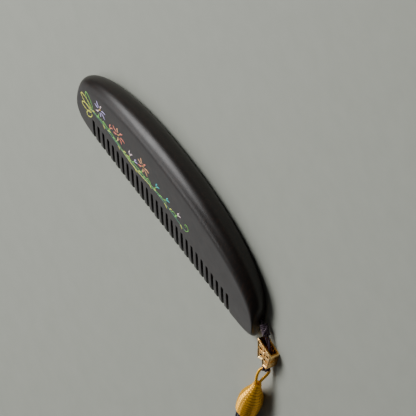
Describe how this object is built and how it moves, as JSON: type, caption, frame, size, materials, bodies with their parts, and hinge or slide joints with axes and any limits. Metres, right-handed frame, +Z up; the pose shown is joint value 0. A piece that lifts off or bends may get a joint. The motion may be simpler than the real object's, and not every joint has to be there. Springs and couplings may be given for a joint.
{
  "type": "scalp massage comb with charm and tassel",
  "caption": "Half-moon scalp comb of dark polished wood with wide rounded teeth, a cord at one end, a pierced gold charm and a silky tassel.",
  "frame": {"origin": "on the surface that the comb rests on, under the middle of the comb's own box, which leaves out the cord, charm and tassel", "axes": "+X along the comb towards the end that the cord leaves, +Y from the tooth tips to the spine, +Z up, away from the surface and out of the painted face"},
  "size_m": [0.1663, 0.1449, 0.0139],
  "materials": {
    "dark_wood": "ebony-dark wood, polished to a soft gloss",
    "dark_cord": "twisted waxed cord, dark plum",
    "cast_gold": "cast and gold plated",
    "gold_thread": "metallic gold thread, wound",
    "black_silk": "black silky tassel thread"
  },
  "bodies": {
    "root": {"comb": "dark_wood", "cord": "dark_cord", "cord_knot": "dark_cord", "charm": "cast_gold", "tassel_loop": "gold_thread", "tassel_head": "gold_thread", "tassel_skirt": "black_silk"}
  },
  "joints": []
}
